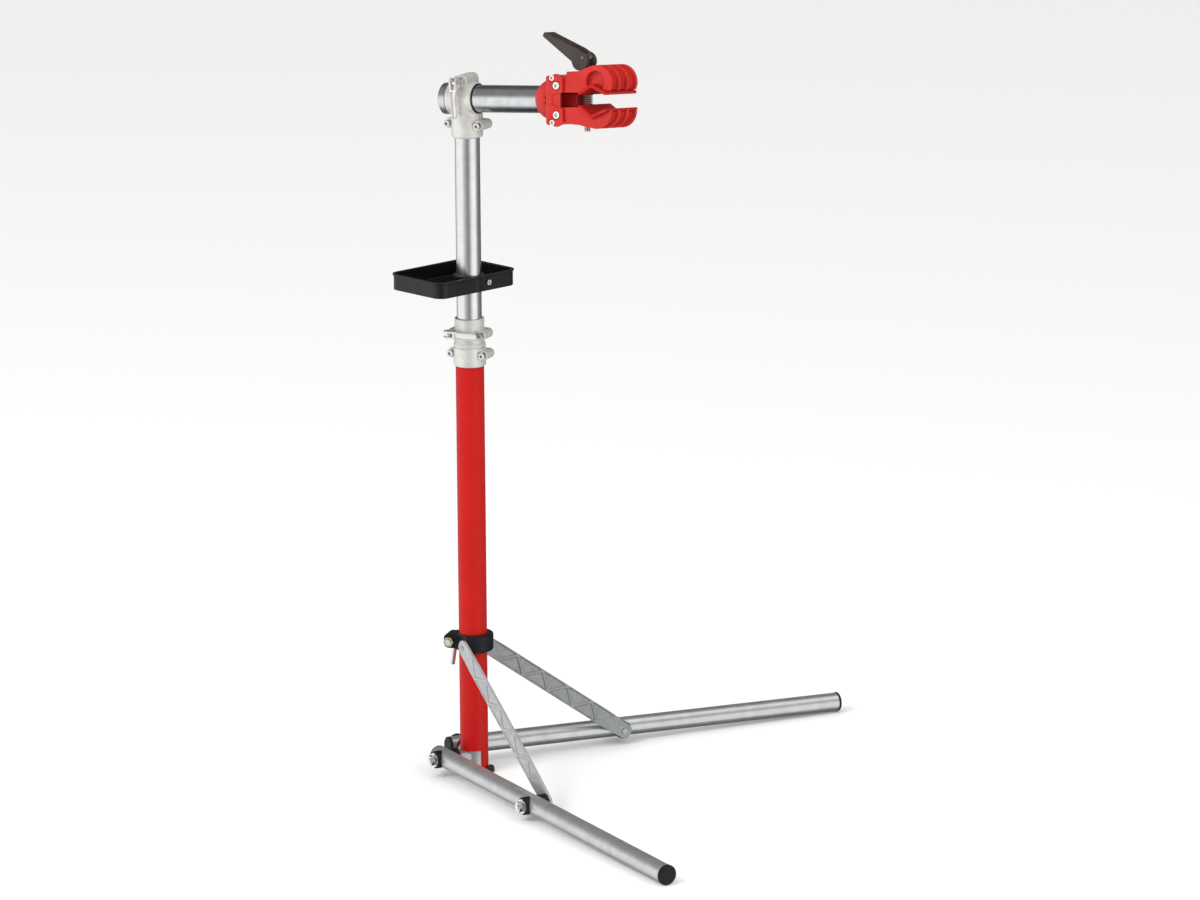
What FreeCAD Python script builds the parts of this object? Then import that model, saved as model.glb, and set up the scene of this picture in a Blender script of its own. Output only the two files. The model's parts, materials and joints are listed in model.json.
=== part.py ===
"""Bicycle repair stand: a two-legged folding base, a telescopic mast and a quick-action clamp.

Millimetres. The origin is the mast axis at the floor, +Z is up and +X points forward, between
the two legs and under the clamp. "Left" is the +Y side and "right" is the -Y side.
"""
import FreeCAD, Part
import math
import os

V = FreeCAD.Vector
Placement = FreeCAD.Placement
Rotation = FreeCAD.Rotation

# ---------------------------------------------------------------- driving dimensions
RUNNING_GAP = 0.05        # radial clearance of every turning or sliding fit
FACE_GAP = 0.3            # gap between faces that pass each other
SNUG_GAP = 0.1            # radial clearance of a fixed part in its hole
NUT_FLATS = 13.0          # across the flats of every nut on an 8 mm bolt

MAIN_R = 20.0             # red outer tube
MAIN_WALL = 2.0
MAIN_TOP = 620.0
NOTCH_Z = 34.0            # the outer tube is cut away below this height
TONGUE_Z = 4.0            # except for a front tongue that reaches down to here
TONGUE_HALF_DEG = 37.0
FOOT_H = 10.0

MAST_R = 17.5             # inner tube
MAST_WALL = 1.8
MAST_BOTTOM = 285.0
MAST_TOP = 948.0
GUIDE_LENGTH = 38.0

LEG_HALF_DEG = 42.0       # each leg's direction, measured from +X
LEG_OFFSET = 47.5         # leg axis to mast axis, square to the leg
LEG_R = 13.5
LEG_WALL = 1.5
LEG_LENGTH = 600.0        # base pivot to the tube's far end
LEG_HEEL = 17.0           # tube behind the base pivot
LEG_PIVOT_Z = 26.0
CAP_R = 14.0
CAP_THICK = 4.0
BOLT_R = 4.0
SADDLE_R = 12.5

STRUT_PIVOT = 247.0       # base pivot to strut pivot, along the leg
STRUT_NEAR = 22.4         # the strut's flat inner face, from the mast axis
STRUT_THICK = 4.5
STRUT_END_R = 11.0
STRUT_TOP_X = 16.0        # strut's top pivot, forward of the mast axis along the leg
STRUT_TOP_Z = 188.0
COLLAR_Z = 192.0
COLLAR_R = 29.0
COLLAR_H = 25.0
COLLAR_BOLT_X = -31.0
COLLAR_LEVER_LENGTH = 42.0
COLLAR_LEVER_DEG = 8.0

CLAMP_YAW = -8.0          # height clamp, turned about the mast
CLAMP_BOTTOM = 592.0
CLAMP_TOP = 660.0
CLAMP_GROOVE = (618.2, 620.4)
CLAMP_LOWER_R = 22.8
CLAMP_UPPER_R = 20.8
CLAMP_LOWER_BOLT = (24.5, 609.0)
CLAMP_UPPER_BOLT = (22.8, 638.0)
CLAMP_LOWER_FACE = -8.0   # front face of the lower and of the upper pair of lugs
CLAMP_UPPER_FACE = -11.0
CLAMP_BACK_FACE = 18.0
CLAMP_LUG_R = 6.8

TRAY_AZIMUTH = 151.0
TRAY_TOP = 722.0
TRAY_H = 23.0
TRAY_LENGTH = 146.0
TRAY_FRONT = 21.0         # mast axis to the wall beside it
TRAY_DEPTH = 106.0
TRAY_WALL = 2.5
TRAY_CORNER = 15.0

BOOM_YAW = -14.0          # boom's direction about the mast
BOOM_RISE = 4.6
JAW_ROLL = -7.5           # the clamp head is rolled a little about the boom
BOOM_Z = 970.5
BOOM_R = 19.0
BOOM_WALL = 1.8
BOOM_END = 155.0
BARREL_BACK = -23.5       # the head's boom barrel, along the boom
BARREL_FRONT = 19.0
BARREL_R = 22.8
SLEEVE_R = 22.0
SLEEVE_BOTTOM = 917.0
HEAD_BOLT = (24.5, 935.5)
HEAD_LUG_FACE = -9.5      # front face of the two pinch-bolt lugs
HEAD_LUG_R = 7.0
HEAD_BACK_FACE = 19.0
EAR_HOLE = (0.0, 26.5)    # quick-release hole over the boom: along it, and up from its axis
HEAD_EAR_HALF = 11.0
HEAD_EAR_TOP = 34.5
HEAD_EAR_FRONT = -14.0
HEAD_EAR_BACK = 18.0
CAP_RIM = 22.0            # metal cap on the boom's back end: radius, skirt and height of its dome
CAP_SKIRT = 9.5
CAP_SAG = 8.0

DOME_X = 145.5            # clamp housing, along the boom
DOME_R = 29.0
EAR_BACK = 151.0
EAR_FRONT = 180.5
EAR_HALF_H = 36.5
EAR_HALF_W = 40.0
ARM_HALF_W = 35.0
PIVOT_X = 170.5           # jaw pivots
PIVOT_Z = 20.0
ROD_X = 196.0             # draw rod
ROD_R = 4.0
ROD_END = -43.3
CAM_Z = 58.0
UPPER_BRIDGE = (33.5, 39.1)   # the plate in each jaw that the draw rod goes through
LOWER_BRIDGE = (-24.0, -20.0)
PAD_HALF_W = 42.0
PAD_THICK = 3.8
ARCH_R = 24.0
FIN_THICK = 4.5
GROOVE = 6.5              # depth between the fins

# ---------------------------------------------------------------- shape helpers
TURN = {"xy": Rotation(), "xz": Rotation(V(1, 0, 0), 90), "yz": Rotation(V(1, 1, 1), 120)}


def cylinder(radius, start, end):
    """Round bar from one point to another."""
    start, end = V(*start), V(*end)
    return Part.makeCylinder(radius, (end - start).Length, start, end - start)


def ring(outer, inner, start, end):
    return cylinder(outer, start, end).cut(cylinder(inner, start, end))


def block(x_range, y_range, z_range):
    size = [high - low for low, high in (x_range, y_range, z_range)]
    return Part.makeBox(*size, V(x_range[0], y_range[0], z_range[0]))


def fuse(*shapes):
    return shapes[0].fuse(list(shapes[1:])).removeSplitter()


def rounded_face(corners):
    """Flat face whose corners (a, b, radius) are rounded off."""
    arcs = []
    for i, (a, b, radius) in enumerate(corners):
        here = V(a, b, 0)
        to_before = (V(*corners[i - 1][:2], 0) - here).normalize()
        to_after = (V(*corners[(i + 1) % len(corners)][:2], 0) - here).normalize()
        half = to_before.getAngle(to_after) / 2
        reach = radius / math.tan(half)
        middle = (to_before + to_after).normalize() * (radius / math.sin(half) - radius)
        arcs.append((here + to_before * reach, here + middle, here + to_after * reach))
    edges = []
    for i, (start, middle, end) in enumerate(arcs):
        if start.distanceToPoint(end) > 1e-6:
            edges.append(Part.Arc(start, middle, end).toShape())
        following = arcs[(i + 1) % len(arcs)][0]
        if end.distanceToPoint(following) > 1e-6:
            edges.append(Part.LineSegment(end, following).toShape())
    return Part.Face(Part.Wire(edges))


def prism(corners, plane, low, high):
    """Extrude a rounded outline square to its plane, from low to high on the third axis."""
    solid = rounded_face(corners).extrude(V(0, 0, high - low))
    shift = {"xy": V(0, 0, low), "xz": V(0, high, 0), "yz": V(low, 0, 0)}[plane]
    solid.Placement = Placement(shift, TURN[plane])
    return solid


def bar_outline(x_low, x_high, z_low, z_high, radius):
    return [(x_low, z_low, radius), (x_high, z_low, radius),
            (x_high, z_high, radius), (x_low, z_high, radius)]


def hexagon(across_flats, start, end):
    """Hexagonal bar, such as a nut, from one point to another."""
    start, end = V(*start), V(*end)
    corner = across_flats / math.sqrt(3)
    points = [V(corner * math.cos(math.radians(60 * k)), corner * math.sin(math.radians(60 * k)), 0)
              for k in range(7)]
    solid = Part.Face(Part.makePolygon(points)).extrude(V(0, 0, (end - start).Length))
    solid.Placement = Placement(start, Rotation(V(0, 0, 1), end - start))
    return solid


def placed(shape, frame):
    moved = shape.copy()
    moved.Placement = frame.multiply(moved.Placement)
    return moved


def mirrored(shape):
    return shape.mirror(V(0, 0, 0), V(0, 1, 0))


def save(name, *shapes):
    shape = shapes[0] if len(shapes) == 1 else Part.makeCompound(list(shapes))
    shape.exportStep(f"parts/{name}.step")


# ---------------------------------------------------------------- frames
LEG_SLOPE = math.degrees(math.asin((LEG_PIVOT_Z - CAP_R) / (LEG_LENGTH + CAP_THICK)))

# The left leg's plane: X along the leg on the floor, Y outward from the mast, Z up.
LEG_PLANE = Placement(V(0, 0, 0), Rotation(V(0, 0, 1), LEG_HALF_DEG))
LEG = LEG_PLANE.multiply(Placement(V(0, LEG_OFFSET, LEG_PIVOT_Z), Rotation(V(0, 1, 0), LEG_SLOPE)))
HEIGHT_CLAMP = Placement(V(0, 0, 0), Rotation(V(0, 0, 1), CLAMP_YAW))
TRAY = Placement(V(0, 0, 0), Rotation(V(0, 0, 1), TRAY_AZIMUTH))
HEAD = Placement(V(0, 0, 0), Rotation(V(0, 0, 1), BOOM_YAW))
BOOM = HEAD.multiply(Placement(V(0, 0, BOOM_Z), Rotation(V(0, 1, 0), -BOOM_RISE)))
JAWS = BOOM.multiply(Placement(V(0, 0, 0), Rotation(V(1, 0, 0), JAW_ROLL)))


# ---------------------------------------------------------------- base and outer tube
def make_main_tube():
    inner = MAIN_R - MAIN_WALL
    upper = ring(MAIN_R, inner, (0, 0, NOTCH_Z), (0, 0, MAIN_TOP))
    spread = 2 * MAIN_R * math.tan(math.radians(TONGUE_HALF_DEG))
    wedge = prism([(0, 0, 0), (2 * MAIN_R, -spread, 0), (2 * MAIN_R, spread, 0)],
                  "xy", TONGUE_Z, NOTCH_Z)
    tongue = ring(MAIN_R, inner, (0, 0, TONGUE_Z), (0, 0, NOTCH_Z)).common(wedge)
    save("main_tube", fuse(upper, tongue))


LUG_END = LEG_OFFSET - LEG_R - 5.3
HUB_TOP = 60.0


def make_base_hub():
    """Cast hub: a plug inside the outer tube with a lug out to each leg pivot."""
    core = cylinder(MAIN_R - MAIN_WALL - SNUG_GAP, (0, 0, FOOT_H), (0, 0, HUB_TOP))
    lug = prism(bar_outline(-13, 13, 12, NOTCH_Z - 0.5, 5), "xz", 4, LUG_END)
    hole = cylinder(BOLT_R + SNUG_GAP, (0, 9, LEG_PIVOT_Z), (0, LUG_END + 1, LEG_PIVOT_Z))
    lug = placed(lug, LEG_PLANE)
    hole = placed(hole, LEG_PLANE)
    save("base_hub", fuse(core, lug, mirrored(lug)).cut([hole, mirrored(hole)]))


def make_foot_plug():
    """Rubber plug under the mast, with a toe in front of the tube's tongue."""
    disc = cylinder(MAIN_R - MAIN_WALL - 0.4, (0, 0, 0), (0, 0, FOOT_H))
    sole = block((0, 28), (-7, 7), (0, TONGUE_Z - 0.2))
    toe = prism([(MAIN_R + 0.3, 0, 0), (28, 0, 0), (28, 6, 0), (25, 9.5, 1), (MAIN_R + 0.3, 9.5, 0)],
                "xz", -7, 7)
    save("foot_plug", fuse(disc, sole, toe))


def outer_nut(along_leg):
    """Washer, nut and the saddle's outer face, on the outside of a leg."""
    face = LEG_R + 3.8
    washer = ring(10, BOLT_R + SNUG_GAP, (along_leg, face, 0), (along_leg, face + 1.6, 0))
    nut = hexagon(NUT_FLATS, (along_leg, face + 1.6, 0), (along_leg, face + 8, 0))
    bore = cylinder(BOLT_R + SNUG_GAP, (along_leg, face, 0), (along_leg, face + 9, 0))
    return fuse(washer, nut.cut(bore))


def make_base_pivots():
    """Bolt through each leg into the hub, with its washer and nut."""
    bolt = cylinder(BOLT_R, (0, 10 - LEG_OFFSET, 0), (0, LEG_R + 13, 0))
    bolt = placed(bolt, LEG)
    nut = placed(outer_nut(0), LEG)
    save("base_pivot_bolts", bolt, mirrored(bolt))
    save("base_pivot_nuts", nut, mirrored(nut))


# ---------------------------------------------------------------- legs
def make_leg_tube():
    tube = ring(LEG_R, LEG_R - LEG_WALL, (-LEG_HEEL, 0, 0), (LEG_LENGTH, 0, 0))
    holes = [cylinder(BOLT_R + RUNNING_GAP, (x, -20, 0), (x, 20, 0)) for x in (0, STRUT_PIVOT)]
    return tube.cut(holes)


def end_cap(outside, inside, radius):
    """Black cap: a rounded flange outside the tube's end and a plug inside it."""
    step = 1 if outside > inside else -1
    face = outside - step * CAP_THICK
    flange = cylinder(radius, (face, 0, 0), (outside, 0, 0))
    outer_edge = [e for e in flange.Edges if abs(e.CenterOfMass.x - outside) < 0.01]
    flange = flange.makeFillet(1.8, outer_edge)
    plug = cylinder(LEG_R - LEG_WALL - SNUG_GAP, (inside, 0, 0), (face, 0, 0))
    return fuse(flange, plug)


def make_leg_caps():
    tip = end_cap(LEG_LENGTH + CAP_THICK, LEG_LENGTH - 16, CAP_R)
    heel = end_cap(-LEG_HEEL - CAP_THICK, -LEG_HEEL + 8, LEG_R)
    return [tip, heel]


def saddle(along_leg, low, high, bore):
    """Plastic washer block whose one face is hollowed to sit on the leg tube."""
    body = cylinder(SADDLE_R, (along_leg, low, 0), (along_leg, high, 0))
    tube = cylinder(LEG_R + RUNNING_GAP, (along_leg - 30, 0, 0), (along_leg + 30, 0, 0))
    hole = cylinder(bore, (along_leg, low - 1, 0), (along_leg, high + 1, 0))
    return body.cut([tube, hole])


STRUT_OUTER = STRUT_NEAR + STRUT_THICK


def make_leg_saddles():
    outer = LEG_R + 3.5
    at_base = LUG_END + FACE_GAP - LEG_OFFSET
    at_strut = STRUT_OUTER + FACE_GAP - LEG_OFFSET
    turning = BOLT_R + RUNNING_GAP
    return [saddle(0, 5, outer, turning), saddle(0, at_base, -5, turning),
            saddle(STRUT_PIVOT, 5, outer, BOLT_R), saddle(STRUT_PIVOT, at_strut, -5, BOLT_R)]


def make_strut_bolt():
    inner_end = STRUT_NEAR - 0.6 - LEG_OFFSET
    bolt = cylinder(BOLT_R, (STRUT_PIVOT, inner_end, 0), (STRUT_PIVOT, LEG_R + 13, 0))
    return [bolt, outer_nut(STRUT_PIVOT)]


def make_legs():
    pieces = {"leg_tube": [make_leg_tube()], "leg_caps": make_leg_caps(),
              "leg_saddles": make_leg_saddles(), "strut_bolt": make_strut_bolt()}
    for name, shapes in pieces.items():
        left = [placed(shape, LEG) for shape in shapes]
        save(f"{name}_left", *left)
        save(f"{name}_right", *[mirrored(shape) for shape in left])


# ---------------------------------------------------------------- struts
STRUT_FOOT = LEG.multVec(V(STRUT_PIVOT, 0, 0))
STRUT_FOOT = LEG_PLANE.inverse().multVec(STRUT_FOOT)
STRUT_RUN = V(STRUT_TOP_X - STRUT_FOOT.x, 0, STRUT_TOP_Z - STRUT_FOOT.z)
STRUT_LENGTH = STRUT_RUN.Length
STRUT_TILT = math.degrees(math.atan2(STRUT_RUN.z, STRUT_RUN.x))

# The left strut's own frame: X from its foot pivot to its top pivot, Y outward.
STRUT = LEG_PLANE.multiply(Placement(V(STRUT_FOOT.x, 0, STRUT_FOOT.z),
                                     Rotation(V(0, 1, 0), -STRUT_TILT)))
STRUT_BAYS = 10
RAIL = 2.2                # the strut's raised edge
RIB = 1.3                 # half the width of a diagonal rib
MID_HALF_W = 12.5


def strut_pocket(start, pitch, side, low, high):
    """Triangle between two diagonal ribs and one rail; side is +1 for the upper rail."""
    edge = side * (MID_HALF_W - RAIL)
    inset = 2 * RIB
    return prism([(start + inset, edge, 0.8), (start + pitch - inset, edge, 0.8),
                  (start + pitch / 2, edge - side * (2 * abs(edge) - inset), 0.8)],
                 "xz", low, high)


def make_strut():
    """Flat cast bar with raised rails and zigzag ribs on both faces."""
    low, high = STRUT_NEAR, STRUT_OUTER
    ends = [cylinder(STRUT_END_R, (x, low, 0), (x, high, 0)) for x in (0, STRUT_LENGTH)]
    web = prism([(0, -STRUT_END_R, 0), (40, -MID_HALF_W, 20), (STRUT_LENGTH - 40, -MID_HALF_W, 20),
                 (STRUT_LENGTH, -STRUT_END_R, 0), (STRUT_LENGTH, STRUT_END_R, 0),
                 (STRUT_LENGTH - 40, MID_HALF_W, 20), (40, MID_HALF_W, 20), (0, STRUT_END_R, 0)],
                "xz", low, high)
    bar = fuse(web, *ends)
    pitch = (STRUT_LENGTH - 48) / STRUT_BAYS * 2
    depth = 1.4
    pockets = []
    for bay in range(STRUT_BAYS - 1):
        start = 24 + bay * pitch / 2
        side = 1 if bay % 2 else -1
        for face in ((low - 1, low + depth), (high - depth, high + 1)):
            pockets.append(strut_pocket(start, pitch, side, *face))
    hole = cylinder(BOLT_R + RUNNING_GAP, (0, low - 1, 0), (0, high + 1, 0))
    top_hole = cylinder(3.1, (STRUT_LENGTH, low - 1, 0), (STRUT_LENGTH, high + 1, 0))
    return bar.cut(pockets + [hole, top_hole])


def make_strut_pin():
    low, high = STRUT_NEAR, STRUT_OUTER
    shank = cylinder(3.0, (STRUT_LENGTH, low, 0), (STRUT_LENGTH, high, 0))
    head = cylinder(3.6, (STRUT_LENGTH, high, 0), (STRUT_LENGTH, high + 0.6, 0))
    return fuse(shank, head)


def make_struts():
    for name, shape in (("strut", make_strut()), ("strut_pin", make_strut_pin())):
        left = placed(shape, STRUT)
        save(f"{name}_left", left)
        save(f"{name}_right", mirrored(left))


# ---------------------------------------------------------------- sliding collar
def make_collar():
    """Split ring that slides on the outer tube, flat where the struts lie against it."""
    low, high = COLLAR_Z - COLLAR_H / 2, COLLAR_Z + COLLAR_H / 2
    body = cylinder(COLLAR_R, (0, 0, low), (0, 0, high))
    body = body.makeFillet(3, [e for e in body.Edges if len(e.Vertexes) == 1])
    ear = prism([(COLLAR_BOLT_X - 9, low + 2, 7), (-12, low + 2, 0),
                 (-12, high - 2, 0), (COLLAR_BOLT_X - 9, high - 2, 7)], "xz", -12, 12)
    flat = block((-60, 60), (STRUT_NEAR - FACE_GAP, 60), (low - 1, high + 1))
    flat = placed(flat, LEG_PLANE)
    bore = cylinder(MAIN_R + RUNNING_GAP, (0, 0, low - 1), (0, 0, high + 1))
    slot = block((-60, 0), (-1.5, 1.5), (low - 1, high + 1))
    hole = cylinder(BOLT_R + RUNNING_GAP, (COLLAR_BOLT_X, -30, COLLAR_Z), (COLLAR_BOLT_X, 30, COLLAR_Z))
    save("collar", fuse(body.cut([flat, mirrored(flat)]), ear).cut([bore, slot, hole]))


def make_collar_lever():
    """Clamp bolt that turns about Y, with a rod handle at its left end and a fixed nut."""
    x, z = COLLAR_BOLT_X, COLLAR_Z
    shank = cylinder(BOLT_R, (x, -20.5, z), (x, 14, z))
    head = cylinder(7.5, (x, 12.3, z), (x, 20.3, z))
    save("collar_bolt", fuse(shank, head))
    lean = math.radians(COLLAR_LEVER_DEG)
    toward = V(-math.sin(lean), 0, -math.cos(lean))
    middle = V(x, 16.3, z)
    start, end = middle + toward * 7.5, middle + toward * COLLAR_LEVER_LENGTH
    rod = cylinder(3.75, tuple(start), tuple(end))
    tip = [e for e in rod.Edges if (e.CenterOfMass - end).Length < 0.01]
    save("collar_lever", rod.makeFillet(1.2, tip))
    nut = hexagon(NUT_FLATS, (x, -18.8, z), (x, -12, z))
    nut = nut.cut(cylinder(BOLT_R + RUNNING_GAP, (x, -25, z), (x, 0, z)))
    save("collar_nut", nut)


# ---------------------------------------------------------------- quick-release levers
# Their own frame: pivot at the origin along Z, skewer toward +Y, lever arm toward +X.
HUB_R = 7.0
LEVER_HALF_W = 5.5
LEVER_PIN_R = 2.0
LEVER_RIM = 1.3           # raised edge round the hollow in the arm
SKEWER_R = 3.0
QUICK_NUT = 6.2           # how far a skewer's nut stands out behind its casting


def quick_lever(length, arm_top):
    """Cam hub with a slot for the skewer's eye, and a long arm hollowed on its outer face.

    The arm's width runs from the hub's lower end up to arm_top on the pin's axis.
    """
    low, high = -LEVER_HALF_W, LEVER_HALF_W
    hub = cylinder(HUB_R, (0, 0, low), (0, 0, high))
    arm = prism([(-2, -HUB_R + 0.1, 0), (length, -6.4, 1.2), (length, -2.6, 1.2),
                 (12, -2.4, 3), (2, 4, 0)], "xy", low, high)
    end_round = (arm_top - low) / 2 - 0.3
    outline = prism([(-20, low, 0), (length + 0.5, low, end_round), (length + 0.5, arm_top, end_round),
                     (20, arm_top, 3), (10, high, 3), (-20, high, 0)], "xz", -20, 20)
    inner_low, inner_high = low + LEVER_RIM, arm_top - LEVER_RIM
    hollow = prism([(12, inner_low, 1), (length - 1, inner_low, 2), (length - 1, inner_high, 2),
                    (12, inner_high, 1)], "xz", -20, -4.0)
    slot = block((-20, 9), (-20, 20), (-2.8, 2.8))
    hole = cylinder(LEVER_PIN_R, (0, 0, -10), (0, 0, 10))
    return fuse(hub, arm).common(outline).cut([slot, hollow, hole])


def lever_pin():
    return cylinder(LEVER_PIN_R, (0, 0, -LEVER_HALF_W), (0, 0, LEVER_HALF_W))


def skewer(length):
    """Rod with an eye on the lever's pin at one end and a domed nut at the other."""
    eye = cylinder(4.6, (0, 0, -2.5), (0, 0, 2.5))
    rod = cylinder(SKEWER_R, (0, 0, 0), (0, length, 0)).common(block((-5, 5), (0, 99), (-2.5, 2.5)))
    thread = cylinder(SKEWER_R, (0, HUB_R + 0.5, 0), (0, length, 0))
    nut = hexagon(10, (0, length - 6, 0), (0, length, 0))
    dome = Part.makeSphere(4.6, V(0, length - 1, 0))
    hole = cylinder(LEVER_PIN_R + RUNNING_GAP, (0, 0, -5), (0, 0, 5))
    return fuse(eye, rod, thread, nut, dome).cut(hole)


# ---------------------------------------------------------------- height clamp
LUG_ROUND = 4.0
SEAT_R = 5.9
QUICK_SEAT_R = 6.8


def clamp_lug(x, z, radius, front, back):
    """Ear on one side of a split casting, for a bolt along Y."""
    low, high = sorted((math.copysign(10, x), x + math.copysign(radius, x)))
    lug = prism(bar_outline(low, high, z - radius, z + radius, radius - 0.1), "xz", front, back)
    return lug.makeFillet(LUG_ROUND, [e for e in lug.Edges if e.BoundBox.YMin > back - 0.01])


def spot_face(x, z, front, radius):
    """Flat seat for a bolt's washer, cut into whatever stands in front of the lug."""
    return cylinder(radius, (x, front - 30, z), (x, front, z))


def socket_bolt(x, z, front, back):
    """Cap screw along Y with its washer in front, its end inside the lug behind."""
    head = cylinder(5, (x, front - 6, z), (x, front - 1.2, z))
    rim = [e for e in head.Edges if e.BoundBox.YMax < front - 5.9]
    head = head.makeFillet(0.7, rim)
    socket = hexagon(5, (x, front - 7, z), (x, front - 3, z))
    washer = cylinder(5.6, (x, front - 1.2, z), (x, front, z))
    shank = cylinder(SKEWER_R, (x, front, z), (x, back - 2, z))
    return fuse(head.cut(socket), washer, shank)


def split_halves(casting, gap):
    """The front (-Y) and back (+Y) halves of a casting."""
    far = 400
    front = block((-far, far), (-far, -gap / 2), (-far, 3 * far))
    back = block((-far, far), (gap / 2, far), (-far, 3 * far))
    return casting.common(front), casting.common(back)


def make_height_clamp():
    step = MAIN_TOP + 2
    groove_low, groove_high = CLAMP_GROOVE
    lower = cylinder(CLAMP_LOWER_R, (0, 0, CLAMP_BOTTOM), (0, 0, step))
    cone = Part.makeCone(CLAMP_LOWER_R, CLAMP_UPPER_R, 5, V(0, 0, step))
    upper = cylinder(CLAMP_UPPER_R, (0, 0, step), (0, 0, CLAMP_TOP))
    groove = ring(CLAMP_LOWER_R + 1, CLAMP_LOWER_R - 1.7, (0, 0, groove_low), (0, 0, groove_high))
    rims = [e for e in lower.Edges if abs(e.CenterOfMass.z - CLAMP_BOTTOM) < 0.01]
    lower = lower.makeFillet(1.5, rims)
    rows = ((*CLAMP_LOWER_BOLT, CLAMP_LOWER_FACE), (*CLAMP_UPPER_BOLT, CLAMP_UPPER_FACE))
    places = [(side * x, z, front) for x, z, front in rows for side in (-1, 1)]
    seats = [spot_face(x, z, front, SEAT_R) for x, z, front in places[:2]]
    seats += [spot_face(x, z, front, QUICK_SEAT_R) for x, z, front in places[2:]]
    lugs = [clamp_lug(x, z, CLAMP_LUG_R, front, CLAMP_BACK_FACE) for x, z, front in places]
    bores = [cylinder(MAIN_R, (0, 0, CLAMP_BOTTOM - 1), (0, 0, MAIN_TOP + 0.5)),
             cylinder(MAST_R + RUNNING_GAP, (0, 0, MAIN_TOP), (0, 0, CLAMP_TOP + 1))]
    holes = [cylinder(SKEWER_R + SNUG_GAP, (x, -40, z), (x, 40, z)) for x, z, _ in places]
    casting = fuse(fuse(lower, cone, upper).cut(groove), *lugs).cut(bores + holes + seats)
    front, back = split_halves(casting, 1.0)
    save("height_clamp_front", placed(front, HEIGHT_CLAMP))
    save("height_clamp_back", placed(back, HEIGHT_CLAMP))
    bolts = [socket_bolt(x, z, front, CLAMP_BACK_FACE) for x, z, front in places[:2] + places[3:]]
    save("height_clamp_bolts", *[placed(bolt, HEIGHT_CLAMP) for bolt in bolts])


QUICK_WASHER = 2.2
QUICK_Y = CLAMP_UPPER_FACE - QUICK_WASHER - FACE_GAP - HUB_R
HEIGHT_QUICK = HEIGHT_CLAMP.multiply(
    Placement(V(-CLAMP_UPPER_BOLT[0], QUICK_Y, CLAMP_UPPER_BOLT[1]), Rotation()))


def make_height_lever():
    near = HUB_R + FACE_GAP
    washer = ring(6.5, SKEWER_R + RUNNING_GAP, (0, near, 0), (0, near + QUICK_WASHER, 0))
    rod = skewer(CLAMP_BACK_FACE - QUICK_Y + QUICK_NUT)
    save("height_skewer", placed(rod, HEIGHT_QUICK), placed(washer, HEIGHT_QUICK))
    save("height_lever", placed(quick_lever(46, 4.9), HEIGHT_QUICK))
    save("height_lever_pin", placed(lever_pin(), HEIGHT_QUICK))


# ---------------------------------------------------------------- mast
def make_mast():
    bottom = MAST_BOTTOM - FACE_GAP
    stub = cylinder(MAST_R - MAST_WALL - RUNNING_GAP, (0, 0, bottom), (0, 0, MAST_BOTTOM + 20))
    shoe = cylinder(MAIN_R - MAIN_WALL - RUNNING_GAP, (0, 0, bottom - GUIDE_LENGTH), (0, 0, bottom))
    hollow = cylinder(12, (0, 0, bottom - GUIDE_LENGTH - 1), (0, 0, MAST_BOTTOM + 21))
    save("mast_guide", fuse(shoe, stub).cut(hollow))
    save("mast_tube", ring(MAST_R, MAST_R - MAST_WALL, (0, 0, MAST_BOTTOM), (0, 0, MAST_TOP)))


LINER_R = BOOM_R + 1.25
LINER_RIM_R = LINER_R + 0.5
LINER_RIM_END = BARREL_FRONT + 0.8


def make_head():
    """Casting that clamps the mast's top below and the boom across it, in two halves."""
    sleeve = cylinder(SLEEVE_R, (0, 0, SLEEVE_BOTTOM), (0, 0, BOOM_Z))
    rim = [e for e in sleeve.Edges if abs(e.CenterOfMass.z - SLEEVE_BOTTOM) < 0.01]
    sleeve = sleeve.makeFillet(2.5, rim)
    bolt_x, bolt_z = HEAD_BOLT
    lugs = [clamp_lug(x, bolt_z, HEAD_LUG_R, HEAD_LUG_FACE, HEAD_BACK_FACE) for x in (-bolt_x, bolt_x)]
    barrel = cylinder(BARREL_R, (BARREL_BACK, 0, 0), (BARREL_FRONT, 0, 0))
    barrel = barrel.makeFillet(1.5, [e for e in barrel.Edges if len(e.Vertexes) == 1])
    hole_x, hole_z = EAR_HOLE
    ears = prism([(hole_x - HEAD_EAR_HALF, 5, 0), (hole_x + HEAD_EAR_HALF, 5, 0),
                  (hole_x + HEAD_EAR_HALF, HEAD_EAR_TOP, 8), (hole_x - HEAD_EAR_HALF, HEAD_EAR_TOP, 8)],
                 "xz", HEAD_EAR_FRONT, HEAD_EAR_BACK)
    cuts = [placed(cylinder(LINER_R, (BARREL_BACK - 9, 0, 0), (BARREL_FRONT + 9, 0, 0)), BOOM),
            placed(cylinder(SKEWER_R + SNUG_GAP, (hole_x, -50, hole_z), (hole_x, 50, hole_z)), BOOM)]
    cuts.append(placed(cylinder(MAST_R, (0, 0, SLEEVE_BOTTOM - 1), (0, 0, MAST_TOP + 0.5)), HEAD))
    rim_seat = cylinder(LINER_RIM_R + SNUG_GAP, (BARREL_FRONT, 0, 0), (BARREL_FRONT + 9, 0, 0))
    cuts.append(placed(rim_seat, BOOM))
    for x in (-bolt_x, bolt_x):
        cuts.append(placed(cylinder(SKEWER_R + SNUG_GAP, (x, -40, bolt_z), (x, 40, bolt_z)), HEAD))
        cuts.append(placed(spot_face(x, bolt_z, HEAD_LUG_FACE, SEAT_R), HEAD))
    casting = fuse(*[placed(shape, HEAD) for shape in (sleeve, *lugs)],
                   *[placed(shape, BOOM) for shape in (barrel, ears)]).cut(cuts)
    front, back = split_halves(placed(casting, HEAD.inverse()), 1.0)
    save("head_front", placed(front, HEAD))
    save("head_back", placed(back, HEAD))
    bolts = [socket_bolt(x, bolt_z, HEAD_LUG_FACE, HEAD_BACK_FACE) for x in (-bolt_x, bolt_x)]
    save("head_bolts", *[placed(bolt, HEAD) for bolt in bolts])


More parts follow.
